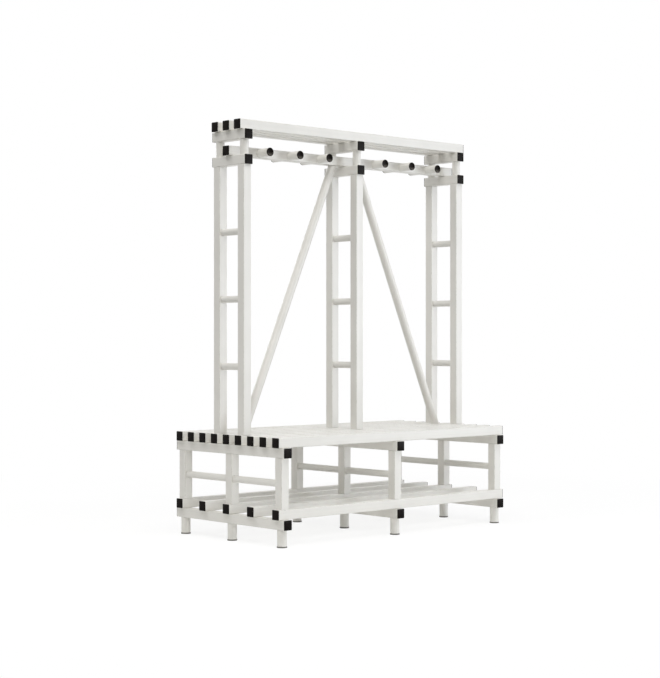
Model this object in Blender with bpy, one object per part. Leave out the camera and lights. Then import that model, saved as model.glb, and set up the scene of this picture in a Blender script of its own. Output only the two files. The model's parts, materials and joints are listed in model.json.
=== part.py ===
# Double-sided changing room bench: slatted seat, low shelf, peg rail and top shelf.
# White square plastic tube and round pipe, with black end caps. Metres, +Z up.
# The origin is on the floor under the middle of the bench. X runs along it, -Y is the front.
import math

import bmesh
import bpy
from mathutils import Matrix, Vector

# Square tube and round pipe
PROFILE = 0.045
PROFILE_WALL = 0.002
PIPE_PLAY = 0.0005
PIPE_WALL = 0.003
RUNG_DIAMETER = 0.032
RUNG_WALL = 0.0025
BRACE_DIAMETER = 0.040
BRACE_WALL = 0.003
FOOT_DIAMETER = 0.044
PIPE_SIDES = 16
BORE_SIDES = 8

# Clearances
BEARING_GAP = 0.0003
HOLE_CLEARANCE = 0.0003

# End caps of tubes and pegs
CAP_HEAD = 0.003
CAP_STEP = 0.0005
CAP_PLUG = 0.012
BREATHER_DIAMETER = 0.003
BREATHER_SIDES = 6

# Slats
SLAT_LENGTH = 1.500
SLAT_OVERHANG = 0.0175
SEAT_SLATS = 9
SEAT_PITCH = 0.088
SHELF_SLATS = 5
HAT_SLATS = 3
HAT_PITCH = 0.082

# Bearers, legs and uprights
BEARER_OVERHANG = 0.020
TOP_BEARER_OVERHANG = 0.0105
FOOT_HEIGHT = 0.080
LEG_LENGTH = 0.230
UPRIGHT_LENGTH = 1.242
RAIL_HEADROOM = 0.026
BUSH_LENGTH = 0.014
LADDER_RUNGS = 3
RUNG_FIRST = 0.313
RUNG_PITCH = 0.3115
RUNG_GRIP = 0.006

# Coat pegs and braces
PEGS_PER_BAY = 3
PEG_LENGTH = 0.076
BRACE_FOOT_SETBACK = 0.065
BRACE_TOP_SETBACK = 0.081

# Levelling glides
GLIDE_THICKNESS = 0.006
GLIDE_RIM = 0.0015
STEM_DIAMETER = 0.010
STEM_LENGTH = 0.040
FOOT_PLUG = 0.012

# Sizes that follow from the ones above
PROFILE_BORE = PROFILE - 2 * PROFILE_WALL
PIPE_DIAMETER = PROFILE_BORE - 2 * PIPE_PLAY
PIPE_BORE = PIPE_DIAMETER - 2 * PIPE_WALL
PIPE_HOLE = PIPE_DIAMETER + 2 * HOLE_CLEARANCE
RUNG_BORE = RUNG_DIAMETER - 2 * RUNG_WALL
RUNG_HOLE = RUNG_DIAMETER + 2 * HOLE_CLEARANCE
STEM_HOLE = STEM_DIAMETER + 2 * HOLE_CLEARANCE
GLIDE_DIAMETER = FOOT_DIAMETER + 2 * GLIDE_RIM

FRAME_X = SLAT_LENGTH / 2 - SLAT_OVERHANG - PROFILE / 2
LEG_Y = SEAT_PITCH * (SEAT_SLATS - 1) / 2
SHELF_PITCH = 2 * LEG_Y / (SHELF_SLATS - 1)
UPRIGHT_Y = SEAT_PITCH
BEARER_LENGTH = 2 * (LEG_Y + PROFILE / 2 + BEARER_OVERHANG)
TOP_BEARER_LENGTH = 2 * (UPRIGHT_Y + PROFILE / 2 + TOP_BEARER_OVERHANG)
PEG_PITCH = SLAT_LENGTH / (2 * (PEGS_PER_BAY + 1))
PEG_REACH = PROFILE / 2 + PEG_LENGTH

# Height of the underside of each layer
LAYER = PROFILE + BEARING_GAP
FOOT_Z = GLIDE_THICKNESS + BEARING_GAP
SHELF_BEARER_Z = FOOT_HEIGHT
SHELF_Z = SHELF_BEARER_Z + LAYER
LEG_Z = SHELF_Z + LAYER
SEAT_BEARER_Z = LEG_Z + LEG_LENGTH + BEARING_GAP
SEAT_Z = SEAT_BEARER_Z + LAYER
UPRIGHT_Z = SEAT_Z + LAYER
RAIL_BEARER_Z = UPRIGHT_Z + UPRIGHT_LENGTH + BEARING_GAP
RAIL_Z = RAIL_BEARER_Z + LAYER
HAT_BEARER_Z = RAIL_Z + PROFILE + RAIL_HEADROOM
HAT_Z = HAT_BEARER_Z + LAYER

FRAMES = {"left": -FRAME_X, "middle": 0.0, "right": FRAME_X}
ROWS = {"front": -LEG_Y, "centre": 0.0, "rear": LEG_Y}

# How far a cutter runs past the face that it opens
OVERRUN = 0.002
SMOOTH_ANGLE = math.radians(40)


def plastic(name, colour, roughness):
    material = bpy.data.materials.new(name)
    material.use_nodes = True
    shader = material.node_tree.nodes["Principled BSDF"]
    shader.inputs["Base Color"].default_value = (*colour, 1.0)
    shader.inputs["Roughness"].default_value = roughness
    shader.inputs["Metallic"].default_value = 0.0
    material.diffuse_color = (*colour, 1.0)
    return material


def mesh_from(bm, name, material):
    mesh = bpy.data.meshes.new(name)
    bm.to_mesh(mesh)
    bm.free()
    mesh.materials.append(material)
    return mesh


def box(size, centre, material):
    bm = bmesh.new()
    place = Matrix.Translation(centre) @ Matrix.Diagonal((*size, 1.0))
    bmesh.ops.create_cube(bm, size=1.0, matrix=place)
    return mesh_from(bm, "box", material)


def rod(diameter, start, end, material, sides=PIPE_SIDES):
    bm = bmesh.new()
    start = Vector(start)
    run = Vector(end) - start
    turn = run.to_track_quat("Z", "Y").to_matrix().to_4x4()
    bmesh.ops.create_cone(
        bm,
        cap_ends=True,
        segments=sides,
        radius1=diameter / 2,
        radius2=diameter / 2,
        depth=run.length,
        matrix=Matrix.Translation(start + run / 2) @ turn,
    )
    return mesh_from(bm, "rod", material)


# Several meshes that don't meet, as one cutter or one set of members
def together(meshes):
    bm = bmesh.new()
    for mesh in meshes:
        bm.from_mesh(mesh)
    return mesh_from(bm, "set", meshes[0].materials[0])


# A mesh made from the first one by unions, cuts and intersections, in the given order
def worked(base, *steps):
    body = bpy.data.objects.new("blank", base)
    tools = []
    cutters.objects.link(body)
    for operation, mesh in steps:
        tool = bpy.data.objects.new("tool", mesh)
        tool.hide_render = True
        tool.display_type = "WIRE"
        cutters.objects.link(tool)
        tools.append(tool)
        step = body.modifiers.new(operation.lower(), "BOOLEAN")
        step.operation = operation
        step.solver = "EXACT"
        step.material_mode = "TRANSFER"
        step.object = tool
    depsgraph = bpy.context.evaluated_depsgraph_get()
    mesh = bpy.data.meshes.new_from_object(body.evaluated_get(depsgraph))
    for used in [body, *tools]:
        bpy.data.objects.remove(used)
    return mesh


def add_part(name, mesh, location, turn=0.0, parent=None):
    part = bpy.data.objects.new(name, mesh)
    mesh.shade_smooth()
    mesh.set_sharp_from_angle(angle=SMOOTH_ANGLE)
    part.location = location
    part.rotation_euler.z = turn
    part.parent = parent
    parts.objects.link(part)
    return part


def add_empty(name, location):
    empty = bpy.data.objects.new(name, None)
    empty.location = location
    parts.objects.link(empty)
    return empty


# A capped square tube along X, centred on its own origin, with round holes through it.
# Holes through the top and bottom are at the given places, and so are those through the sides.
def capped_tube(length, upright_holes=(), level_holes=()):
    shell = box((length - 2 * CAP_HEAD, PROFILE, PROFILE), (0, 0, 0), white)
    cap_side = PROFILE - 2 * CAP_STEP
    caps = box((length, cap_side, cap_side), (0, 0, 0), black)
    cavity_length = length - 2 * (CAP_HEAD + CAP_PLUG)
    cavity = box((cavity_length, PROFILE_BORE, PROFILE_BORE), (0, 0, 0), white)
    past_end = length / 2 + OVERRUN
    breather = rod(BREATHER_DIAMETER, (-past_end, 0, 0), (past_end, 0, 0), black, BREATHER_SIDES)
    reach = PROFILE / 2 + OVERRUN
    holes = [rod(PIPE_HOLE, (x, 0, -reach), (x, 0, reach), white) for x in upright_holes]
    holes += [rod(PIPE_HOLE, (x, -reach, 0), (x, reach, 0), white) for x in level_holes]
    steps = [("UNION", caps), ("DIFFERENCE", cavity), ("DIFFERENCE", breather)]
    if holes:
        steps.append(("DIFFERENCE", together(holes)))
    return worked(shell, *steps)


# A leg with its round foot. It stands on its own origin, and the foot hangs below that. The foot's
# spigot runs up through bearer and slat into the leg, and its shoulder carries the bearer.
# A centre leg carries the rung that runs through it. An outer leg has a hole for it, facing +Y.
def leg(is_centre):
    bush_top = BUSH_LENGTH
    foot_bottom = FOOT_Z - LEG_Z
    shell = box((PROFILE, PROFILE, LEG_LENGTH), (0, 0, LEG_LENGTH / 2), white)
    cavity_height = LEG_LENGTH - bush_top + OVERRUN
    cavity = box((PROFILE_BORE, PROFILE_BORE, cavity_height), (0, 0, bush_top + cavity_height / 2), white)
    foot_top = SHELF_BEARER_Z - BEARING_GAP - LEG_Z
    foot = rod(FOOT_DIAMETER, (0, 0, foot_bottom), (0, 0, foot_top), white)
    spigot_foot = (foot_bottom + foot_top) / 2
    spigot = rod(PIPE_DIAMETER, (0, 0, spigot_foot), (0, 0, bush_top / 2), white)
    bore = rod(
        PIPE_BORE, (0, 0, foot_bottom + FOOT_PLUG), (0, 0, bush_top + OVERRUN), white, BORE_SIDES
    )
    stem_top = foot_bottom + FOOT_PLUG + OVERRUN
    stem_hole = rod(STEM_HOLE, (0, 0, foot_bottom - OVERRUN), (0, 0, stem_top), white, BORE_SIDES)
    steps = [
        ("UNION", spigot),
        ("UNION", foot),
        ("DIFFERENCE", cavity),
        ("DIFFERENCE", bore),
        ("DIFFERENCE", stem_hole),
    ]
    rung_z = LEG_LENGTH / 2
    if is_centre:
        rung_end = LEG_Y - PROFILE_BORE / 2 + RUNG_GRIP
        bore_end = rung_end + OVERRUN
        rung = rod(RUNG_DIAMETER, (0, -rung_end, rung_z), (0, rung_end, rung_z), white)
        rung_bore = rod(RUNG_BORE, (0, -bore_end, rung_z), (0, bore_end, rung_z), white, BORE_SIDES)
        steps += [("UNION", rung), ("DIFFERENCE", rung_bore)]
    else:
        hole = rod(RUNG_HOLE, (0, 0, rung_z), (0, PROFILE / 2 + OVERRUN, rung_z), white)
        steps.append(("DIFFERENCE", hole))
    return worked(shell, *steps)


# Two uprights joined by rungs. A round post stands out of the top of each one.
def ladder():
    sides = (-UPRIGHT_Y, UPRIGHT_Y)
    middle = UPRIGHT_LENGTH / 2
    shells = [box((PROFILE, PROFILE, UPRIGHT_LENGTH), (0, y, middle), white) for y in sides]
    bush_bottom = UPRIGHT_LENGTH - BUSH_LENGTH
    cavity_height = bush_bottom + OVERRUN
    cavity_size = (PROFILE_BORE, PROFILE_BORE, cavity_height)
    cavities = [box(cavity_size, (0, y, bush_bottom - cavity_height / 2), white) for y in sides]
    rung_end = UPRIGHT_Y - PROFILE_BORE / 2 + RUNG_GRIP
    bore_end = rung_end + OVERRUN
    heights = [RUNG_FIRST + n * RUNG_PITCH for n in range(LADDER_RUNGS)]
    rungs = [rod(RUNG_DIAMETER, (0, -rung_end, z), (0, rung_end, z), white) for z in heights]
    rung_bores = [
        rod(RUNG_BORE, (0, -bore_end, z), (0, bore_end, z), white, BORE_SIDES) for z in heights
    ]
    post_foot = bush_bottom + BUSH_LENGTH / 2
    post_top = HAT_BEARER_Z - BEARING_GAP - UPRIGHT_Z
    posts = [rod(PIPE_DIAMETER, (0, y, post_foot), (0, y, post_top), white) for y in sides]
    bore_foot = bush_bottom - OVERRUN
    bore_top = post_top + OVERRUN
    post_bores = [rod(PIPE_BORE, (0, y, bore_foot), (0, y, bore_top), white, BORE_SIDES) for y in sides]
    return worked(
        together(shells),
        ("DIFFERENCE", together(cavities)),
        ("UNION", together(rungs)),
        ("DIFFERENCE", together(rung_bores)),
        ("UNION", together(posts)),
        ("DIFFERENCE", together(post_bores)),
    )


# A peg that runs through the rail along Y, with a round cap on each end
def coat_peg():
    shell_end = PEG_REACH - CAP_HEAD
    bore_end = shell_end - CAP_PLUG
    past_end = PEG_REACH + OVERRUN
    cap_diameter = PIPE_DIAMETER - 2 * CAP_STEP
    shell = rod(PIPE_DIAMETER, (0, -shell_end, 0), (0, shell_end, 0), white)
    caps = rod(cap_diameter, (0, -PEG_REACH, 0), (0, PEG_REACH, 0), black)
    bore = rod(PIPE_BORE, (0, -bore_end, 0), (0, bore_end, 0), white, BORE_SIDES)
    breather = rod(BREATHER_DIAMETER, (0, -past_end, 0), (0, past_end, 0), black, BREATHER_SIDES)
    return worked(shell, ("UNION", caps), ("DIFFERENCE", bore), ("DIFFERENCE", breather))


# A sloping pipe from the seat near the left frame up to the rail near the middle frame.
# Both ends are cut level, to bear on the slat and on the rail.
def brace():
    bottom = Vector((BRACE_FOOT_SETBACK - FRAME_X, 0, UPRIGHT_Z))
    top = Vector((-BRACE_TOP_SETBACK, 0, RAIL_Z - BEARING_GAP))
    spare = (top - bottom).normalized() * 2 * BRACE_DIAMETER
    bore_spare = spare * 2
    pipe = rod(BRACE_DIAMETER, bottom - spare, top + spare, white)
    bore = rod(BRACE_DIAMETER - 2 * BRACE_WALL, bottom - bore_spare, top + bore_spare, white, BORE_SIDES)
    slab_size = (2 * SLAT_LENGTH, 2 * PROFILE, top.z - bottom.z)
    slab = box(slab_size, (0, 0, (top.z + bottom.z) / 2), white)
    return worked(pipe, ("DIFFERENCE", bore), ("INTERSECT", slab))


# A disc that stands on the floor, on a stem that screws up into the foot
def glide():
    disc = rod(GLIDE_DIAMETER, (0, 0, 0), (0, 0, GLIDE_THICKNESS), grey)
    stem_foot = GLIDE_THICKNESS / 2
    stem_top = GLIDE_THICKNESS + STEM_LENGTH
    stem = rod(STEM_DIAMETER, (0, 0, stem_foot), (0, 0, stem_top), grey, BORE_SIDES)
    return worked(disc, ("UNION", stem))


# Evenly spaced places about zero
def spread(count, pitch):
    return [(n - (count - 1) / 2) * pitch for n in range(count)]


def add_slats(name, mesh_at, count, pitch, bottom):
    for n, y in enumerate(spread(count, pitch)):
        add_part(f"{name}_{n + 1}", mesh_at(n), (0, y, bottom + PROFILE / 2), parent=bench)


# Clear the scene
for old in list(bpy.data.objects):
    bpy.data.objects.remove(old)

parts = bpy.data.collections.new("changing_room_bench")
cutters = bpy.data.collections.new("changing_room_bench_cutters")
bpy.context.scene.collection.children.link(parts)
bpy.context.scene.collection.children.link(cutters)

white = plastic("white_pvc", (0.80, 0.80, 0.78), 0.35)
black = plastic("black_cap_plastic", (0.012, 0.012, 0.012), 0.45)
grey = plastic("grey_glide_plastic", (0.11, 0.11, 0.10), 0.55)

bench = add_empty("bench_origin", (0, 0, 0))
frames = {side: add_empty(f"frame_{side}_origin", (x, 0, 0)) for side, x in FRAMES.items()}

# Slats and rail, numbered from the front
plain_slat = capped_tube(SLAT_LENGTH)
footed_slat = capped_tube(SLAT_LENGTH, upright_holes=list(FRAMES.values()))
footed_places = (0, SHELF_SLATS // 2, SHELF_SLATS - 1)
add_slats("seat_slat", lambda n: plain_slat, SEAT_SLATS, SEAT_PITCH, SEAT_Z)
add_slats(
    "shelf_slat",
    lambda n: footed_slat if n in footed_places else plain_slat,
    SHELF_SLATS,
    SHELF_PITCH,
    SHELF_Z,
)
add_slats("hat_slat", lambda n: plain_slat, HAT_SLATS, HAT_PITCH, HAT_Z)

peg_places = [x for x in spread(2 * PEGS_PER_BAY + 1, PEG_PITCH) if abs(x) > PEG_PITCH / 2]
rail = capped_tube(SLAT_LENGTH, level_holes=peg_places)
rail_middle_z = RAIL_Z + PROFILE / 2
add_part("hook_rail", rail, (0, 0, rail_middle_z), parent=bench)
peg = coat_peg()
for n, x in enumerate(peg_places):
    add_part(f"coat_peg_{n + 1}", peg, (x, 0, rail_middle_z), parent=bench)

# Frames: bearers, legs with their glides, and ladders
footed_bearer = capped_tube(BEARER_LENGTH, upright_holes=list(ROWS.values()))
seat_bearer = capped_tube(BEARER_LENGTH)
rail_bearer = capped_tube(TOP_BEARER_LENGTH, upright_holes=(-UPRIGHT_Y, UPRIGHT_Y))
hat_bearer = capped_tube(TOP_BEARER_LENGTH)
bearers = {
    "shelf_bearer": (footed_bearer, SHELF_BEARER_Z),
    "seat_bearer": (seat_bearer, SEAT_BEARER_Z),
    "rail_bearer": (rail_bearer, RAIL_BEARER_Z),
    "hat_bearer": (hat_bearer, HAT_BEARER_Z),
}
outer_leg = leg(is_centre=False)
centre_leg = leg(is_centre=True)
upright_ladder = ladder()
foot_glide = glide()
for side, frame in frames.items():
    for name, (mesh, bottom) in bearers.items():
        add_part(f"{name}_{side}", mesh, (0, 0, bottom + PROFILE / 2), math.radians(90), frame)
    for row, y in ROWS.items():
        shape = centre_leg if row == "centre" else outer_leg
        turn = math.pi if row == "rear" else 0.0
        add_part(f"leg_{row}_{side}", shape, (0, y, LEG_Z), turn, frame)
        add_part(f"glide_{row}_{side}", foot_glide, (0, y, 0), parent=frame)
    add_part(f"ladder_{side}", upright_ladder, (0, 0, UPRIGHT_Z), parent=frame)

# Braces, the right one turned about the middle of the bench
brace_pipe = brace()
add_part("brace_left", brace_pipe, (0, 0, 0), parent=bench)
add_part("brace_right", brace_pipe, (0, 0, 0), math.pi, bench)
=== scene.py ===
# Looks of a double-sided changing room bench of white plastic tube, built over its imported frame
import json
import math

import bmesh
import bpy
from mathutils import Matrix, Vector


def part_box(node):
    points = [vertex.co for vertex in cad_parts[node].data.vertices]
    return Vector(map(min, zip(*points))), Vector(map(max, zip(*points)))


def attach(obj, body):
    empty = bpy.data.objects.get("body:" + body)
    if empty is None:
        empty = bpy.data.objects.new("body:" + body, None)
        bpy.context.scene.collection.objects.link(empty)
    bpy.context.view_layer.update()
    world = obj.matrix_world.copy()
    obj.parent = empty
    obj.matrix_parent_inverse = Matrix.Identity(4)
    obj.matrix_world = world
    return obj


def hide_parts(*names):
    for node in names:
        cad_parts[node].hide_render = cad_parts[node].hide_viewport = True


mm = 0.001
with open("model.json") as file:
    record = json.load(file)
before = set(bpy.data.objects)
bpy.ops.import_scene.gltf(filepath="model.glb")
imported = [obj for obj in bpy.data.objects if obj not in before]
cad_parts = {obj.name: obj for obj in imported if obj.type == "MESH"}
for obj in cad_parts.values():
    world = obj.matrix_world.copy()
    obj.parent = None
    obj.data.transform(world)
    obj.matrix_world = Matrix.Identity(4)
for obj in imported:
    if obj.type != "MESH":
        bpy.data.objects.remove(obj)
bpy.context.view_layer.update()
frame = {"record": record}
scene = bpy.context.scene
bodyOf = {node: body for body, nodes in frame["record"]["behaviour"]["bodies"].items() for node in nodes}


def toLinear(hexColour):
    parts = [int(hexColour[n:n + 2], 16) / 255 for n in (1, 3, 5)]
    return (*[p / 12.92 if p <= 0.04045 else ((p + 0.055) / 1.055) ** 2.4 for p in parts], 1.0)


# Repeats of a pattern in a metre, from its size in millimetres
def perMetre(size):
    return 1000 / size


# A socket is named or numbered, and takes a value or another node's output
def addNode(tree, kind, sockets=None, **settings):
    node = tree.nodes.new("ShaderNode" + kind)
    for name, value in settings.items():
        setattr(node, name, value)
    for socket, value in (sockets or {}).items():
        if isinstance(value, bpy.types.NodeSocket):
            tree.links.new(value, node.inputs[socket])
        else:
            node.inputs[socket].default_value = value
    return node


patternSpread = 50.0  # how far apart two pieces may lie in a pattern, so that no two are alike


def startMaterial(name):
    material = bpy.data.materials.new(name)
    material.use_nodes = True
    material.node_tree.nodes.clear()
    return material, material.node_tree


extrudedPvc = {
    "white": "#ECEAE5",  # filled with titanium white, a touch warm
    "streak": "#E1DFD9",  # where the die dragged
    "rubbed": "#D6D4CC",  # corners worn by use
    "ior": 1.53,
    "roughness": 0.36,
    "roughnessSpread": 0.12,
    "cornerPolish": 0.08,
    "dieLineWidth": 2.0,  # mm. Real ones are about 0.3 and too fine to show
    "dieLineLength": 900.0,  # mm
    "dieLineDepth": 0.06,  # mm
    "dieLineBump": 0.4,
    "dieLineFrom": 0.45,  # level of the noise where a streak begins
    "dieLineTo": 0.80,
    "dieLineMost": 0.7,  # share of the streak's colour
    "cloudSize": 150.0,  # mm, slow changes of tone along a bar
    "cloudFrom": 0.40,
    "cloudTo": 0.75,
    "cloudMost": 0.5,
    "wearSize": 9.0,  # mm, how the rubbed corners break up
    "wearFrom": 0.45,
    "wearTo": 0.75,
    "detail": 3.0,  # finer layers in the noise of lines and clouds
    "wearDetail": 4.0,
    "cornerFrom": 17.5,  # mm from the bar's axis, both ways
    "cornerTo": 21.5,  # mm
}


# Rigid PVC as it leaves the extruder: an even, slightly warm white with a satin sheen. Faint lines from
# the die run along every bar, and the corners are rubbed a little greyer and smoother than the flats.
def makeExtrudedPvc(look):
    material, tree = startMaterial("extruded_rigid_pvc")
    spot = addNode(tree, "TexCoord").outputs["Object"]
    ownNumber = addNode(tree, "ObjectInfo").outputs["Random"]
    shift = addNode(tree, "Math", {0: ownNumber, 1: patternSpread}, operation="MULTIPLY").outputs[0]
    across = perMetre(look["dieLineWidth"])
    along = perMetre(look["dieLineLength"])
    drawn = addNode(tree, "Mapping", {"Vector": spot, "Scale": (along, across, across)}).outputs[0]
    lines = addNode(
        tree,
        "TexNoise",
        {"Vector": drawn, "W": shift, "Scale": 1.0, "Detail": look["detail"]},
        noise_dimensions="4D",
    ).outputs[0]
    clouds = addNode(
        tree,
        "TexNoise",
        {"Vector": spot, "W": shift, "Scale": perMetre(look["cloudSize"]), "Detail": look["detail"]},
        noise_dimensions="4D",
    ).outputs[0]
    wear = addNode(
        tree,
        "TexNoise",
        {"Vector": spot, "W": shift, "Scale": perMetre(look["wearSize"]), "Detail": look["wearDetail"]},
        noise_dimensions="4D",
    ).outputs[0]

    # A corner is far from the axis both ways
    away = addNode(tree, "VectorMath", {0: spot}, operation="ABSOLUTE")
    sides = addNode(tree, "SeparateXYZ", {0: away.outputs[0]})
    lesser = addNode(tree, "Math", {0: sides.outputs["Y"], 1: sides.outputs["Z"]}, operation="MINIMUM")
    corner = addNode(
        tree,
        "MapRange",
        {
            "Value": lesser.outputs[0],
            "From Min": look["cornerFrom"] * mm,
            "From Max": look["cornerTo"] * mm,
        },
    ).outputs[0]
    worn = addNode(
        tree,
        "MapRange",
        {"Value": wear, "From Min": look["wearFrom"], "From Max": look["wearTo"]},
    ).outputs[0]
    rub = addNode(tree, "Math", {0: corner, 1: worn}, operation="MULTIPLY").outputs[0]

    white, streak, rubbed = (toLinear(look[tone]) for tone in ("white", "streak", "rubbed"))
    lineShare = addNode(
        tree,
        "MapRange",
        {
            "Value": lines,
            "From Min": look["dieLineFrom"],
            "From Max": look["dieLineTo"],
            "To Max": look["dieLineMost"],
        },
    ).outputs[0]
    cloudShare = addNode(
        tree,
        "MapRange",
        {
            "Value": clouds,
            "From Min": look["cloudFrom"],
            "From Max": look["cloudTo"],
            "To Max": look["cloudMost"],
        },
    ).outputs[0]
    lined = addNode(tree, "Mix", {0: lineShare, 6: white, 7: streak}, data_type="RGBA").outputs[2]
    clouded = addNode(tree, "Mix", {0: cloudShare, 6: lined, 7: streak}, data_type="RGBA").outputs[2]
    colour = addNode(tree, "Mix", {0: rub, 6: clouded, 7: rubbed}, data_type="RGBA").outputs[2]

    half = look["roughnessSpread"] / 2
    satin = addNode(
        tree,
        "MapRange",
        {"Value": lines, "To Min": look["roughness"] - half, "To Max": look["roughness"] + half},
    ).outputs[0]
    roughness = addNode(
        tree, "Math", {0: corner, 1: -look["cornerPolish"], 2: satin}, operation="MULTIPLY_ADD"
    ).outputs[0]
    bump = addNode(
        tree,
        "Bump",
        {"Height": lines, "Strength": look["dieLineBump"], "Distance": look["dieLineDepth"] * mm},
    )
    shader = addNode(
        tree,
        "BsdfPrincipled",
        {"Base Color": colour, "Roughness": roughness, "IOR": look["ior"], "Normal": bump.outputs[0]},
    )
    addNode(tree, "OutputMaterial", {"Surface": shader.outputs[0]})
    return material


mouldedPolyethylene = {
    "deep": "#0E0A08",
    "bloom": "#1A1512",  # the grey haze that polyethylene gets
    # Lighter grey on faces that look up: partly dust, partly painted light from above
    "dustAndTopLight": "#5C5853",
    "dustAndTopLightFrom": 0.03,  # how far a face looks up where the dust and the painted top light begin, 1 is level
    "dustAndTopLightTo": 0.50,
    "ior": 1.51,
    "specular": 0.045,
    "roughness": 0.30,
    "roughnessSpread": 0.12,
    "grainSize": 0.9,  # mm. A spark-eroded mould leaves about 0.2, too fine to show
    "grainDepth": 0.05,  # mm
    "grainBump": 0.5,
    "grainDetail": 2.0,
    "bloomSize": 16.0,  # mm
    "bloomFrom": 0.40,  # level of the noise where the haze begins
    "bloomTo": 0.70,
    "bloomDetail": 4.0,
}
mouldedPolyamide = {
    "deep": "#6E6D68",
    "bloom": "#83827C",  # scuffed by the floor
    # Lighter grey on faces that look up: partly dust, partly painted light from above
    "dustAndTopLight": "#8B8A85",
    "dustAndTopLightFrom": 0.10,
    "dustAndTopLightTo": 0.55,
    "ior": 1.53,
    "specular": 0.40,
    "roughness": 0.55,
    "roughnessSpread": 0.20,
    "grainSize": 0.9,  # mm, coarser than the real grain for the same reason
    "grainDepth": 0.05,  # mm
    "grainBump": 0.5,
    "grainDetail": 2.0,
    "bloomSize": 8.0,  # mm
    "bloomFrom": 0.40,
    "bloomTo": 0.70,
    "bloomDetail": 4.0,
}


# Plastic moulded in a spark-eroded tool: a fine matt grain all over, a soft haze where it is handled,
# and on what looks up a lighter grey that is partly dust and partly painted light from above
def makeMouldedPlastic(name, look):
    material, tree = startMaterial(name)
    spot = addNode(tree, "TexCoord").outputs["Object"]
    ownNumber = addNode(tree, "ObjectInfo").outputs["Random"]
    shift = addNode(tree, "Math", {0: ownNumber, 1: patternSpread}, operation="MULTIPLY").outputs[0]
    grain = addNode(
        tree,
        "TexNoise",
        {
            "Vector": spot,
            "W": shift,
            "Scale": perMetre(look["grainSize"]),
            "Detail": look["grainDetail"],
        },
        noise_dimensions="4D",
    ).outputs[0]
    haze = addNode(
        tree,
        "TexNoise",
        {
            "Vector": spot,
            "W": shift,
            "Scale": perMetre(look["bloomSize"]),
            "Detail": look["bloomDetail"],
        },
        noise_dimensions="4D",
    ).outputs[0]
    bloomShare = addNode(
        tree,
        "MapRange",
        {"Value": haze, "From Min": look["bloomFrom"], "From Max": look["bloomTo"]},
    ).outputs[0]
    deep, bloom, dustAndTopLight = (toLinear(look[tone]) for tone in ("deep", "bloom", "dustAndTopLight"))
    hazed = addNode(tree, "Mix", {0: bloomShare, 6: deep, 7: bloom}, data_type="RGBA").outputs[2]
    # Painted top light: faces that look up are mixed toward a lighter grey, partly dust and partly
    # painted light from above, so the lower half of a dished cap shows lighter
    facing = addNode(tree, "NewGeometry").outputs["Normal"]
    lookingUp = addNode(tree, "SeparateXYZ", {0: facing}).outputs["Z"]
    dustAndTopLightShare = addNode(
        tree,
        "MapRange",
        {"Value": lookingUp, "From Min": look["dustAndTopLightFrom"], "From Max": look["dustAndTopLightTo"]},
    ).outputs[0]
    colour = addNode(tree, "Mix", {0: dustAndTopLightShare, 6: hazed, 7: dustAndTopLight}, data_type="RGBA").outputs[2]
    half = look["roughnessSpread"] / 2
    roughness = addNode(
        tree,
        "MapRange",
        {"Value": grain, "To Min": look["roughness"] - half, "To Max": look["roughness"] + half},
    ).outputs[0]
    bump = addNode(
        tree,
        "Bump",
        {"Height": grain, "Strength": look["grainBump"], "Distance": look["grainDepth"] * mm},
    )
    shader = addNode(
        tree,
        "BsdfPrincipled",
        {
            "Base Color": colour,
            "Roughness": roughness,
            "IOR": look["ior"],
            "Specular IOR Level": look["specular"],
            "Normal": bump.outputs[0],
        },
    )
    addNode(tree, "OutputMaterial", {"Surface": shader.outputs[0]})
    return material


finishes = {
    "white_pvc": makeExtrudedPvc(extrudedPvc),
    "black_cap": makeMouldedPlastic("moulded_black_polyethylene", mouldedPolyethylene),
    "grey_glide": makeMouldedPlastic("moulded_grey_polyamide", mouldedPolyamide),
}
print("materials made:", ", ".join(material.name for material in finishes.values()))


# Points of one ring square to X: a circle, or with a corner radius a square with rounded corners.
# With a lean, the ring is cut at a slant.
def ringPoints(steps, x, half, corner=None, lean=0.0):
    isRound = corner is None
    hub = 0.0 if isRound else half - corner
    radius = half if isRound else corner
    points = []
    for quarter in range(4):
        diagonal = math.radians(45 + 90 * quarter)
        hubY = math.copysign(hub, math.cos(diagonal))
        hubZ = math.copysign(hub, math.sin(diagonal))
        for step in range(steps if isRound else steps + 1):
            angle = math.radians(90) * (quarter + step / steps)
            y = hubY + radius * math.cos(angle)
            z = hubZ + radius * math.sin(angle)
            points.append((x + lean * z, y, z))
    return points


# A mesh skinned over rings of points: a hollow loop of rings, or a solid with both ends closed
def skin(name, loops, isHollow=False):
    bm = bmesh.new()
    rings = [[bm.verts.new(point) for point in loop] for loop in loops]
    pairs = list(zip(rings, rings[1:]))
    if isHollow:
        pairs.append((rings[-1], rings[0]))
    for near, far in pairs:
        for n in range(len(near)):
            bm.faces.new((near[n - 1], near[n], far[n], far[n - 1]))
    if not isHollow:
        bm.faces.new(rings[0])
        bm.faces.new(rings[-1])
    bmesh.ops.recalc_face_normals(bm, faces=bm.faces[:])
    mesh = bpy.data.meshes.new(name)
    bm.to_mesh(mesh)
    bm.free()
    return mesh


drill = {"play": 0.3 * mm, "overrun": 2.0 * mm, "sides": 48}


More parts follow.
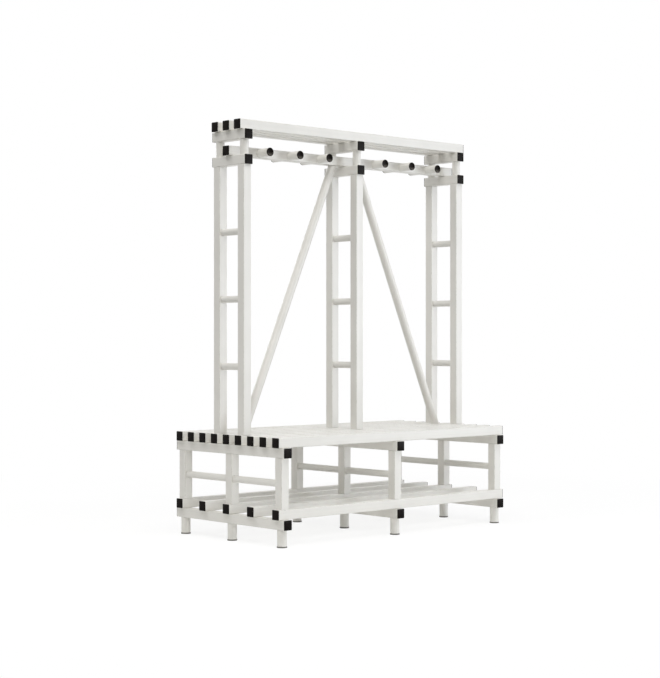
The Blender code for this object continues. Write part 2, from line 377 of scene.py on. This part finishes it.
# Cuts round holes. A hole is the start and the end of its drill's run, and the radius of what goes in.
def drilled(mesh, holes):
    bm = bmesh.new()
    for start, end, radius in holes:
        run = Vector(end) - Vector(start)
        turn = run.to_track_quat("Z", "Y").to_matrix().to_4x4()
        middle = Matrix.Translation(Vector(start) + run / 2)
        bore = radius + drill["play"]
        bmesh.ops.create_cone(
            bm,
            cap_ends=True,
            segments=drill["sides"],
            radius1=bore,
            radius2=bore,
            depth=run.length,
            matrix=middle @ turn,
        )
    bits = bpy.data.meshes.new("bits")
    bm.to_mesh(bits)
    bm.free()
    blank = bpy.data.objects.new("blank", mesh)
    tool = bpy.data.objects.new("tool", bits)
    scene.collection.objects.link(blank)
    scene.collection.objects.link(tool)
    cut = blank.modifiers.new("cut", "BOOLEAN")
    cut.operation = "DIFFERENCE"
    cut.object = tool
    made = bpy.data.meshes.new_from_object(blank.evaluated_get(bpy.context.evaluated_depsgraph_get()))
    bpy.data.objects.remove(blank)
    bpy.data.objects.remove(tool)
    return made


# A matrix that lays a mesh's X along a world axis, and may roll it about that
def placed(centre, axis, roll=0.0):
    turns = {
        "X": Matrix.Identity(4),
        "Y": Matrix.Rotation(math.radians(90), 4, "Z"),
        "Z": Matrix.Rotation(math.radians(-90), 4, "Y"),
    }
    return Matrix.Translation(centre) @ turns[axis] @ Matrix.Rotation(roll, 4, "X")


smoothBelow = math.radians(32)  # a gentler edge than this is shaded round


def addPiece(name, mesh, place, node, slot):
    piece = bpy.data.objects.new(name, mesh)
    scene.collection.objects.link(piece)
    piece.matrix_world = place
    if not mesh.materials:
        mesh.materials.append(finishes[slot])
        mesh.shade_smooth()
        mesh.set_sharp_from_angle(angle=smoothBelow)
    flats = piece.modifiers.new("even_flats", "WEIGHTED_NORMAL")
    flats.keep_sharp = True
    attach(piece, bodyOf[node])
    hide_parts(node)


squareTube = {
    "wall": 2.0 * mm,
    "cornerRadius": 3.5 * mm,
    "boreRadius": 1.2 * mm,
    "sawnEdge": 0.4 * mm,  # burr taken off after the saw
    "cornerSteps": 6,
}
side = (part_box("seat_slat_1")[1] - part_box("seat_slat_1")[0]).z
boreHalf = side / 2 - squareTube["wall"]


def squareTubeMesh(length, holes=()):
    look = squareTube
    end = length / 2
    sawn = look["sawnEdge"]
    half = side / 2
    corner = look["cornerRadius"]
    rings = [
        (-end, half - sawn, corner - sawn),
        (sawn - end, half, corner),
        (end - sawn, half, corner),
        (end, half - sawn, corner - sawn),
        (end, boreHalf, look["boreRadius"]),
        (-end, boreHalf, look["boreRadius"]),
    ]
    tube = skin("square_tube", [ringPoints(look["cornerSteps"], *ring) for ring in rings], isHollow=True)
    return drilled(tube, holes) if holes else tube


roundPipe = {"wall": 3.0 * mm, "sawnEdge": 0.4 * mm, "quarterSteps": 12, "radius": 20.0 * mm}


# A pipe along X. With a lean, both its ends are cut at that slant.
def pipeMesh(length, radius, wall, lean=0.0):
    end = length / 2
    sawn = roundPipe["sawnEdge"]
    rings = [
        (-end, radius - sawn),
        (sawn - end, radius),
        (end - sawn, radius),
        (end, radius - sawn),
        (end, radius - wall),
        (-end, radius - wall),
    ]
    steps = roundPipe["quarterSteps"]
    return skin("pipe", [ringPoints(steps, x, half, lean=lean) for x, half in rings], isHollow=True)


endCap = {
    "headThickness": 3.0 * mm,
    "crown": 0.7 * mm,  # the square face swells a little to its middle
    "rimRound": 0.5 * mm,
    "rimSteps": 4,
    "faceSteps": 6,
    "plugDepth": 12.0 * mm,
    "fins": 3,
    "finThickness": 1.2 * mm,
    "finDepth": 1.2 * mm,
    "finPlay": 0.15 * mm,
    "quarterSteps": 8,
    "pegRim": 2.0 * mm,  # flat ring round the dish of a peg's cap
    "pegDish": 6.0 * mm,
}


# Half outline of a cap's finned plug, which grips inside the bore
def plugOutline(tubeBore):
    look = endCap
    fin = tubeBore - look["finPlay"]
    core = fin - look["finDepth"]
    outline = [(-look["plugDepth"], core)]
    pitch = look["plugDepth"] / look["fins"]
    for n in range(look["fins"]):
        back = pitch * n + look["finThickness"] - look["plugDepth"]
        front = back + look["finThickness"]
        outline += [(back, core), (back + look["finThickness"] / 2, fin), (front, fin), (front, core)]
    return outline + [(0.0, core)]


# Half outline of a cap's head, from its back to the edge of its face
def rimOutline(head, edge):
    rim = endCap["rimRound"]
    outline = [(0.0, head)]
    for step in range(endCap["rimSteps"] + 1):
        angle = math.radians(90) * step / endCap["rimSteps"]
        outline.append((edge - rim * (1 - math.sin(angle)), head - rim * (1 - math.cos(angle))))
    return outline


# A square cap that points along X from the end of its tube
def squareCapMesh():
    look = endCap
    head = side / 2
    outline = plugOutline(boreHalf) + rimOutline(head, look["headThickness"] - look["crown"])
    face = head - look["rimRound"]
    for step in range(1, look["faceSteps"]):
        share = 1 - step / look["faceSteps"]
        outline.append((look["headThickness"] - look["crown"] * share ** 2, face * share))
    cornerShare = squareTube["cornerRadius"] / head
    loops = [ringPoints(look["quarterSteps"], x, half, cornerShare * half) for x, half in outline]
    return skin("square_cap", loops)


# A round cap with a dished face
def pegCapMesh():
    look = endCap
    head = roundPipe["radius"]
    outline = plugOutline(head - roundPipe["wall"]) + rimOutline(head, look["headThickness"])
    dish = head - look["pegRim"]
    for step in range(look["faceSteps"]):
        share = 1 - step / look["faceSteps"]
        outline.append((look["headThickness"] - look["pegDish"] * (1 - share ** 2), dish * share))
    return skin("peg_cap", [ringPoints(look["quarterSteps"], x, half) for x, half in outline])


squareCap = squareCapMesh()
pegCap = pegCapMesh()
endNames = {"X": ("left", "right"), "Y": ("front", "rear")}


# A bar with a cap in each end. The bar stops short of its node's ends by the caps' heads.
def addCappedBar(node, barName, axis, barMesh, cap):
    low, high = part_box(node)
    centre = (low + high) / 2
    addPiece(f"{node}_{barName}", barMesh, placed(centre, axis), node, "white_pvc")
    which = "XYZ".index(axis)
    for sign, end in zip((-1, 1), endNames[axis]):
        seat = centre.copy()
        seat[which] += sign * ((high - low)[which] / 2 - endCap["headThickness"])
        facing = Matrix.Rotation(math.pi, 4, "Z") if sign < 0 else Matrix.Identity(4)
        addPiece(f"{node}_cap_{end}", cap, placed(seat, axis) @ facing, node, "black_cap")


def barLength(node, axis):
    low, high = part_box(node)
    return (high - low)["XYZ".index(axis)] - 2 * endCap["headThickness"]


def middleOf(node):
    low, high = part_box(node)
    return (low + high) / 2


sideNames = ("left", "middle", "right")
frameX = {name: middleOf(f"seat_bearer_{name}").x for name in sideNames}
rowY = {"front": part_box("leg_front_left")[0].y + side / 2, "centre": 0.0}
rowY["rear"] = -rowY["front"]
drillReach = side / 2 + drill["overrun"]
pipeRadius = roundPipe["radius"]


def uprightHole(x):
    return (x, 0, -drillReach), (x, 0, drillReach), pipeRadius


def levelHole(x, radius=pipeRadius):
    return (x, -drillReach, 0), (x, drillReach, 0), radius


# Slats of the seat, the low shelf and the top shelf. The feet run up through every other low one.
slatLength = barLength("seat_slat_1", "X")
plainSlat = squareTubeMesh(slatLength)
footedSlat = squareTubeMesh(slatLength, [uprightHole(x) for x in frameX.values()])
slatRows = {"seat_slat": 9, "shelf_slat": 5, "hat_slat": 3}
for row, count in slatRows.items():
    for n in range(count):
        isFooted = row == "shelf_slat" and n % 2 == 0
        addCappedBar(f"{row}_{n + 1}", "tube", "X", footedSlat if isFooted else plainSlat, squareCap)
print("slats dressed:", sum(slatRows.values()))

# Hook rail, with the pegs through it
pegCount = 6
pegNodes = [f"coat_peg_{n + 1}" for n in range(pegCount)]
rail = squareTubeMesh(slatLength, [levelHole(middleOf(node).x) for node in pegNodes])
addCappedBar("hook_rail", "tube", "X", rail, squareCap)
pegPipe = pipeMesh(barLength("coat_peg_1", "Y"), pipeRadius, roundPipe["wall"])
for node in pegNodes:
    addCappedBar(node, "pipe", "Y", pegPipe, pegCap)
print("hook rail dressed with", len(pegNodes), "pegs")

# Bearers across the frames
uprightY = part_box("ladder_left")[1].y - side / 2
bearerHoles = {
    "shelf_bearer": [uprightHole(y) for y in rowY.values()],
    "seat_bearer": [],
    "rail_bearer": [uprightHole(-uprightY), uprightHole(uprightY)],
    "hat_bearer": [],
}
for bearer, holes in bearerHoles.items():
    bar = squareTubeMesh(barLength(f"{bearer}_left", "Y"), holes)
    for name in sideNames:
        addCappedBar(f"{bearer}_{name}", "tube", "Y", bar, squareCap)
print("bearers dressed:", len(bearerHoles) * len(sideNames))

pipeRung = {
    "radius": 16.0 * mm,
    "wall": 2.5 * mm,
    "grip": 6.0 * mm,  # length inside a tube
}
pipeFoot = {"radius": 22.0 * mm, "insideLeg": 14.0 * mm}
footInsert = {"height": 12.0 * mm, "play": 0.1 * mm, "threadBore": 5.3 * mm}


# A foot that stands along X. Its shoulder carries the bearer, and its spigot runs up into the leg.
def footMesh(shoulder, top):
    sawn = roundPipe["sawnEdge"]
    wide = pipeFoot["radius"]
    rings = [
        (0.0, wide - sawn),
        (sawn, wide),
        (shoulder - sawn, wide),
        (shoulder, wide - sawn),
        (shoulder, pipeRadius),
        (top - sawn, pipeRadius),
        (top, pipeRadius - sawn),
        (top, footBore),
        (0.0, footBore),
    ]
    steps = roundPipe["quarterSteps"]
    return skin("foot", [ringPoints(steps, x, half) for x, half in rings], isHollow=True)


# Legs on the low shelf, with a round foot under each one and a rung through each row of three
footBore = pipeRadius - roundPipe["wall"]
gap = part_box("seat_bearer_left")[0].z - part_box("leg_front_left")[1].z
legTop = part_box("leg_front_left")[1].z
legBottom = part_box("shelf_slat_1")[1].z + gap
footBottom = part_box("leg_front_left")[0].z
legLength = legTop - legBottom
footTop = legBottom + pipeFoot["insideLeg"]
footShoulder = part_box("shelf_bearer_left")[0].z - gap
rungHole = ((0, 0, 0), (0, drillReach, 0), pipeRung["radius"])
outerLeg = squareTubeMesh(legLength, [rungHole])
centreLeg = squareTubeMesh(legLength, [levelHole(0.0, pipeRung["radius"])])
foot = footMesh(footShoulder - footBottom, footTop - footBottom)
insertRadius = footBore - footInsert["play"]
insert = pipeMesh(footInsert["height"], insertRadius, insertRadius - footInsert["threadBore"])
benchRungEnd = rowY["rear"] - boreHalf + pipeRung["grip"]
benchRung = pipeMesh(2 * benchRungEnd, pipeRung["radius"], pipeRung["wall"])
for name, x in frameX.items():
    for row, y in rowY.items():
        node = f"leg_{row}_{name}"
        tube = centreLeg if row == "centre" else outerLeg
        roll = math.pi if row == "rear" else 0.0
        legMiddle = (x, y, (legBottom + legTop) / 2)
        addPiece(f"{node}_tube", tube, placed(legMiddle, "Z", roll), node, "white_pvc")
        addPiece(f"{node}_foot", foot, placed((x, y, footBottom), "Z"), node, "white_pvc")
        insertMiddle = (x, y, footBottom + footInsert["height"] / 2)
        addPiece(f"{node}_insert", insert, placed(insertMiddle, "Z"), node, "grey_glide")
    node = f"leg_centre_{name}"
    rungMiddle = (x, 0, (legBottom + legTop) / 2)
    addPiece(f"{node}_rung", benchRung, placed(rungMiddle, "Y"), node, "white_pvc")
print("legs and feet dressed:", len(frameX) * len(rowY))

ladderForm = {
    "rungs": 3,
    "firstRung": 313.0 * mm,  # above the seat
    "rungPitch": 311.5 * mm,
    "postInside": 14.0 * mm,
}

# Ladders: two uprights with rungs between them, and a round post out of the top of each upright
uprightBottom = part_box("ladder_left")[0].z
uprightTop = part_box("rail_bearer_left")[0].z - gap
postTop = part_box("ladder_left")[1].z
postBottom = uprightTop - ladderForm["postInside"]
uprightLength = uprightTop - uprightBottom
uprightMiddle = (uprightTop + uprightBottom) / 2
lowestRung = uprightBottom + ladderForm["firstRung"] - uprightMiddle
rungPlaces = [lowestRung + n * ladderForm["rungPitch"] for n in range(ladderForm["rungs"])]
rungHoles = [((x, 0, 0), (x, drillReach, 0), pipeRung["radius"]) for x in rungPlaces]
upright = squareTubeMesh(uprightLength, rungHoles)
ladderRung = pipeMesh(2 * (uprightY - boreHalf + pipeRung["grip"]), pipeRung["radius"], pipeRung["wall"])
post = pipeMesh(postTop - postBottom, pipeRadius, roundPipe["wall"])
for name, x in frameX.items():
    node = f"ladder_{name}"
    for row, y, roll in (("front", -uprightY, 0.0), ("rear", uprightY, math.pi)):
        uprightPlace = placed((x, y, uprightMiddle), "Z", roll)
        addPiece(f"{node}_upright_{row}", upright, uprightPlace, node, "white_pvc")
        postMiddle = (x, y, (postTop + postBottom) / 2)
        addPiece(f"{node}_post_{row}", post, placed(postMiddle, "Z"), node, "white_pvc")
    for n, place in enumerate(rungPlaces):
        rungMiddle = (x, 0, uprightMiddle + place)
        addPiece(f"{node}_rung_{n + 1}", ladderRung, placed(rungMiddle, "Y"), node, "white_pvc")
print("ladders dressed:", len(frameX))

pipeBrace = {
    "radius": 20.0 * mm,
    "wall": 3.0 * mm,
    "footSetback": 65.0 * mm,  # from the middle of the outer frame, on the seat
    "topSetback": 81.0 * mm,  # from the middle of the middle frame, under the rail
}

# Sloping braces, both ends cut level
braceBottom, braceTop = (corner.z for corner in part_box("brace_left"))
braceSigns = {"left": -1, "right": 1}
for name, sign in braceSigns.items():
    lower = Vector((frameX[name] - sign * pipeBrace["footSetback"], 0, braceBottom))
    upper = Vector((sign * pipeBrace["topSetback"], 0, braceTop))
    run = upper - lower
    along = run.normalized()
    level = Vector((0, -sign, 0))
    over = along.cross(level)
    turn = Matrix((along, level, over)).transposed().to_4x4()
    pipe = pipeMesh(run.length, pipeBrace["radius"], pipeBrace["wall"], lean=-over.z / along.z)
    place = Matrix.Translation((lower + upper) / 2) @ turn
    addPiece(f"brace_{name}_pipe", pipe, place, f"brace_{name}", "white_pvc")
print("braces dressed:", len(braceSigns))

levellingGlide = {
    "rimRound": 1.2 * mm,
    "rimSteps": 4,
    "stemRadius": 5.0 * mm,
    "threadPitch": 2.0 * mm,
    "threadDepth": 0.7 * mm,
    "stepsInPitch": 6,
    "threadLead": 2.0 * mm,  # the thread fades out over this length at the tip
    "quarterSteps": 8,
}


# A disc on a threaded stem, standing along X. The thread is one helix, worked out point by point.
def glideMesh(discRadius, thickness, tip):
    look = levellingGlide
    steps = look["quarterSteps"]
    profile = []
    for step in range(look["rimSteps"] + 1):
        angle = math.radians(90) * step / look["rimSteps"]
        rim = discRadius - look["rimRound"] * (1 - math.sin(angle))
        profile.append((look["rimRound"] * (1 - math.cos(angle)), rim))
    for step in range(look["rimSteps"] + 1):
        angle = math.radians(90) * step / look["rimSteps"]
        rim = discRadius - look["rimRound"] * (1 - math.cos(angle))
        profile.append((thickness - look["rimRound"] * (1 - math.sin(angle)), rim))
    loops = [ringPoints(steps, x, half) for x, half in profile]
    rise = look["threadPitch"] / look["stepsInPitch"]
    for n in range(int((tip - thickness) / rise) + 1):
        x = thickness + n * rise
        fade = min(1.0, (tip - x) / look["threadLead"])
        ring = []
        for k in range(4 * steps):
            angle = math.radians(90) * k / steps
            wave = 0.5 - 0.5 * math.cos(math.tau * x / look["threadPitch"] - angle)
            radius = look["stemRadius"] - look["threadDepth"] * (1 - wave * fade)
            ring.append((x, radius * math.cos(angle), radius * math.sin(angle)))
        loops.append(ring)
    return skin("levelling_glide", loops)


# Glides, each on its own body
glideLow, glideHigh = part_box("glide_front_left")
discThickness = footBottom - gap - glideLow.z
glide = glideMesh((glideHigh.x - glideLow.x) / 2, discThickness, glideHigh.z - glideLow.z)
for name, x in frameX.items():
    for row, y in rowY.items():
        node = f"glide_{row}_{name}"
        addPiece(f"{node}_disc", glide, placed((x, y, glideLow.z), "Z"), node, "grey_glide")
print("glides dressed:", len(frameX) * len(rowY))


# 1 for what the camera sees, also by reflection or through glass
def directRay(tree):
    rays = addNode(tree, "LightPath").outputs
    seen = addNode(
        tree, "Math", {0: rays["Is Camera Ray"], 1: rays["Is Glossy Ray"]}, operation="MAXIMUM"
    )
    return addNode(
        tree, "Math", {0: seen.outputs[0], 1: rays["Is Transmission Ray"]}, operation="MAXIMUM"
    ).outputs[0]


studioFloor = {
    "white": "#F7F7F5",
    "bare": "#A0A09E",  # the floor past the white sheet that the bench stands on
    "sheetFrom": 2.0,  # m from the bench, where the sheet begins to give way
    "sheetTo": 3.2,  # m
    "size": 60.0,  # m
    "ownGlow": 0.79,  # what the camera sees of the sheet besides its lit paper, so that it is white
    "seenPaper": "#898989",  # takes the shadows that the camera sees
    "shadowFrom": 1.6,  # m from the bench, where the shadows begin to fade to white
    "shadowTo": 3.6,  # m
}


# A matt white sheet on a grey floor. To the camera all of it is white, with soft shadows near the bench.
def makeFloor(look):
    bm = bmesh.new()
    bmesh.ops.create_grid(bm, x_segments=1, y_segments=1, size=look["size"] / 2)
    mesh = bpy.data.meshes.new("studio_floor")
    bm.to_mesh(mesh)
    bm.free()
    floor = bpy.data.objects.new("studio_floor", mesh)
    scene.collection.objects.link(floor)

    material, tree = startMaterial("matt_white_paper")
    spot = addNode(tree, "TexCoord").outputs["Object"]
    distance = addNode(tree, "VectorMath", {0: spot}, operation="LENGTH").outputs["Value"]
    faded = addNode(
        tree,
        "MapRange",
        {"Value": distance, "From Min": look["shadowFrom"], "From Max": look["shadowTo"]},
        interpolation_type="SMOOTHSTEP",
    ).outputs[0]
    sheetEnd = addNode(
        tree,
        "MapRange",
        {"Value": distance, "From Min": look["sheetFrom"], "From Max": look["sheetTo"]},
        interpolation_type="SMOOTHSTEP",
    ).outputs[0]
    white, bare = (toLinear(look[tone]) for tone in ("white", "bare"))
    colour = addNode(tree, "Mix", {0: sheetEnd, 6: white, 7: bare}, data_type="RGBA").outputs[2]
    paper = addNode(tree, "BsdfDiffuse", {"Color": colour})
    seenPaper = addNode(tree, "BsdfDiffuse", {"Color": toLinear(look["seenPaper"])})
    glow = addNode(tree, "Emission", {"Strength": look["ownGlow"]})
    shadowed = addNode(tree, "AddShader", {0: seenPaper.outputs[0], 1: glow.outputs[0]})
    plainWhite = addNode(tree, "Emission", {"Strength": 1.0})
    seen = addNode(tree, "MixShader", {0: faded, 1: shadowed.outputs[0], 2: plainWhite.outputs[0]})
    surface = addNode(tree, "MixShader", {0: directRay(tree), 1: paper.outputs[0], 2: seen.outputs[0]})
    addNode(tree, "OutputMaterial", {"Surface": surface.outputs[0]})
    mesh.materials.append(material)


studioRoom = {"tint": "#FBFBF8", "level": 0.17, "seen": "#FFFFFF"}


# Faint light from all round. The camera sees the room plain white.
def makeRoom(look):
    world = bpy.data.worlds.new("white_room")
    world.use_nodes = True
    tree = world.node_tree
    tree.nodes.clear()
    light = addNode(tree, "Background", {"Color": toLinear(look["tint"]), "Strength": look["level"]})
    white = addNode(tree, "Background", {"Color": toLinear(look["seen"]), "Strength": 1.0})
    surface = addNode(tree, "MixShader", {0: directRay(tree), 1: light.outputs[0], 2: white.outputs[0]})
    addNode(tree, "OutputWorld", {"Surface": surface.outputs[0]})
    scene.world = world


softBoxes = {  # m and W
    "front_left": {"place": (-5.2, -5.2, 6.2), "size": 4.0, "power": 196.0, "tint": "#FFFEFB"},
    "front_right": {"place": (4.3, -5.0, 1.45), "size": 2.8, "power": 138.0, "tint": "#F2F7FF"},
    "above_front": {"place": (0.0, -3.6, 7.4), "size": 3.4, "power": 178.0, "tint": "#FFFFFF"},
    "above_left": {"place": (-3.4, 1.0, 7.0), "size": 3.8, "power": 176.0, "tint": "#FFFFFF"},
    "rear": {"place": (0.5, 7.5, 2.6), "size": 4.0, "power": 140.0, "tint": "#FFFFFF"},
    "right": {"place": (7.5, 0.0, 2.8), "size": 4.0, "power": 60.0, "tint": "#FFFFFF"},
}
benchMiddle = Vector((0, 0, 1.0))  # m


# A square soft light that faces the middle of the bench
def makeSoftBox(name, look):
    light = bpy.data.lights.new(f"soft_box_{name}", "AREA")
    light.shape = "SQUARE"
    light.size = look["size"]
    light.energy = look["power"]
    light.color = toLinear(look["tint"])[:3]
    lamp = bpy.data.objects.new(f"soft_box_{name}", light)
    lamp.location = look["place"]
    lamp.rotation_euler = (benchMiddle - lamp.location).to_track_quat("-Z", "Y").to_euler()
    scene.collection.objects.link(lamp)


photoCamera = {
    "place": (-5.390, -5.774, 0.943),  # m
    "heading": 42.516,  # degrees to the right of +Y
    "tilt": -0.083,  # degrees above level
    "focalLength": 1602.4,  # in pixels of the picture
    "pictureHeight": 678,
    "sensor": 36.0,  # mm
}


def makeCamera(look):
    data = bpy.data.cameras.new("photo_camera")
    data.sensor_width = look["sensor"]
    data.lens = look["focalLength"] * look["sensor"] / look["pictureHeight"]
    data.clip_end = studioFloor["size"]
    camera = bpy.data.objects.new("photo_camera", data)
    camera.location = look["place"]
    camera.rotation_euler = (math.radians(90 + look["tilt"]), 0, math.radians(-look["heading"]))
    scene.collection.objects.link(camera)
    scene.camera = camera


makeFloor(studioFloor)
makeRoom(studioRoom)
for name, look in softBoxes.items():
    makeSoftBox(name, look)
makeCamera(photoCamera)
scene.view_settings.view_transform = "Standard"
print("studio set")
